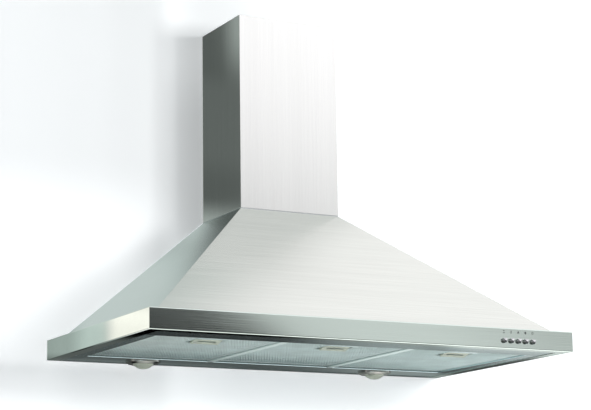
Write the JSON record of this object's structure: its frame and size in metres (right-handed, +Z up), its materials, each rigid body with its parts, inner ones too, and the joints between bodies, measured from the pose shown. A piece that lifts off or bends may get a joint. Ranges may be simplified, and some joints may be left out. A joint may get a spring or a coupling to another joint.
{
  "type": "range hood",
  "caption": "Wall-mounted pyramid range hood with a chimney cover, swing-down metal grease filters, lamps, push buttons and a ducted centrifugal blower.",
  "frame": {"origin": "centre of the four wall fixing holes, on the wall plane", "axes": "+X to the right as seen from the room, +Y into the wall, +Z up"},
  "size_m": [0.9, 0.506, 0.7157],
  "materials": {
    "brushed_steel": "long-grained brushed stainless steel",
    "inner_steel": "plain rolled stainless steel",
    "filter_frame": "satin",
    "filter_mesh": "expanded mesh",
    "latch_plate": "moulded, satin",
    "chrome": "polished",
    "lens_glass": "frosted",
    "bulb_glass": "clear",
    "black_plastic": "moulded",
    "pale_plastic": "moulded",
    "motor_case": "die-cast",
    "galvanised": "galvanised",
    "zinc_plate": "zinc plated",
    "ground_steel": "ground",
    "rubber": "moulded"
  },
  "bodies": {
    "canopy": {"rim_band": "brushed_steel", "pyramid_front": "brushed_steel", "pyramid_left": "brushed_steel", "pyramid_right": "brushed_steel", "back_panel": "inner_steel", "front_rail": "inner_steel", "rear_rail": "inner_steel", "left_rail": "inner_steel", "right_rail": "inner_steel", "left_divider": "inner_steel", "right_divider": "inner_steel", "top_plate": "inner_steel", "housing_left": "black_plastic", "housing_right": "black_plastic", "motor": "motor_case", "motor_bracket": "inner_steel", "motor_bushes": "rubber", "motor_screws": "zinc_plate", "capacitor": "pale_plastic", "outlet_collar": "black_plastic", "collar_screws": "zinc_plate", "blower_screws": "zinc_plate", "flap_pin": "ground_steel", "lower_cover": "brushed_steel", "chimney_bracket": "inner_steel", "switch_block": "black_plastic", "transformer": "black_plastic", "terminal_box": "black_plastic", "cable_gland": "black_plastic", "lamp_housing_left": "galvanised", "lamp_housing_right": "galvanised", "lamp_bulb_left": "bulb_glass", "lamp_bulb_right": "bulb_glass", "lamp_bezel_left": "chrome", "lamp_bezel_right": "chrome", "lamp_lens_left": "lens_glass", "lamp_lens_right": "lens_glass"},
    "fan": {"impeller": "galvanised", "motor_shaft": "ground_steel"},
    "front_flap": {"flap_front": "black_plastic"},
    "rear_flap": {"flap_rear": "black_plastic"},
    "upper_chimney": {"upper_cover": "brushed_steel"},
    "press_off": {"button_off": "chrome"},
    "press_speed_1": {"button_speed_1": "chrome"},
    "press_speed_2": {"button_speed_2": "chrome"},
    "press_speed_3": {"button_speed_3": "chrome"},
    "press_light": {"button_light": "chrome"},
    "filter_left": {"filter_frame_left": "filter_frame", "filter_mesh_left": "filter_mesh", "latch_springs_left": "zinc_plate"},
    "latch_left": {"filter_latch_left": "latch_plate"},
    "filter_middle": {"filter_frame_middle": "filter_frame", "filter_mesh_middle": "filter_mesh", "latch_springs_middle": "zinc_plate"},
    "latch_middle": {"filter_latch_middle": "latch_plate"},
    "filter_right": {"filter_frame_right": "filter_frame", "filter_mesh_right": "filter_mesh", "latch_springs_right": "zinc_plate"},
    "latch_right": {"filter_latch_right": "latch_plate"}
  },
  "joints": [
    {"name": "fan_spin", "type": "hinge", "parent": "canopy", "child": "fan", "pos_m": [0, -0.13, -0.03], "axis": [1, 0, 0], "continuous": true},
    {"name": "front_flap_swing", "type": "hinge", "parent": "canopy", "child": "front_flap", "pos_m": [0, -0.089, 0.1352], "axis": [-1, 0, 0], "range_deg": [0, 75]},
    {"name": "rear_flap_swing", "type": "hinge", "parent": "canopy", "child": "rear_flap", "pos_m": [0, -0.089, 0.1352], "axis": [1, 0, 0], "range_deg": [0, 75]},
    {"name": "upper_chimney_slide", "type": "slide", "parent": "canopy", "child": "upper_chimney", "axis": [0, 0, 1], "range_m": [0, 0.35]},
    {"name": "button_off_press", "type": "slide", "parent": "canopy", "child": "press_off", "axis": [0, 1, 0], "range_m": [0, 0.0035], "stiffness_N_per_m": 500, "springref_m": -0.002},
    {"name": "button_speed_1_press", "type": "slide", "parent": "canopy", "child": "press_speed_1", "axis": [0, 1, 0], "range_m": [0, 0.0035], "stiffness_N_per_m": 500, "springref_m": -0.002},
    {"name": "button_speed_2_press", "type": "slide", "parent": "canopy", "child": "press_speed_2", "axis": [0, 1, 0], "range_m": [0, 0.0035], "stiffness_N_per_m": 500, "springref_m": -0.002},
    {"name": "button_speed_3_press", "type": "slide", "parent": "canopy", "child": "press_speed_3", "axis": [0, 1, 0], "range_m": [0, 0.0035], "stiffness_N_per_m": 500, "springref_m": -0.002},
    {"name": "button_light_press", "type": "slide", "parent": "canopy", "child": "press_light", "axis": [0, 1, 0], "range_m": [0, 0.0035], "stiffness_N_per_m": 500, "springref_m": -0.002},
    {"name": "filter_left_swing", "type": "hinge", "parent": "canopy", "child": "filter_left", "pos_m": [-0.271, -0.085, -0.176], "axis": [1, 0, 0], "range_deg": [0, 75]},
    {"name": "latch_left_slide", "type": "slide", "parent": "filter_left", "child": "latch_left", "axis": [0, 1, 0], "range_m": [0, 0.007], "stiffness_N_per_m": 600, "springref_m": -0.003, "deforming": ["latch_springs_left"]},
    {"name": "filter_middle_swing", "type": "hinge", "parent": "canopy", "child": "filter_middle", "pos_m": [0, -0.085, -0.176], "axis": [1, 0, 0], "range_deg": [0, 75]},
    {"name": "latch_middle_slide", "type": "slide", "parent": "filter_middle", "child": "latch_middle", "axis": [0, 1, 0], "range_m": [0, 0.007], "stiffness_N_per_m": 600, "springref_m": -0.003, "deforming": ["latch_springs_middle"]},
    {"name": "filter_right_swing", "type": "hinge", "parent": "canopy", "child": "filter_right", "pos_m": [0.271, -0.085, -0.176], "axis": [1, 0, 0], "range_deg": [0, 75]},
    {"name": "latch_right_slide", "type": "slide", "parent": "filter_right", "child": "latch_right", "axis": [0, 1, 0], "range_m": [0, 0.007], "stiffness_N_per_m": 600, "springref_m": -0.003, "deforming": ["latch_springs_right"]}
  ]
}
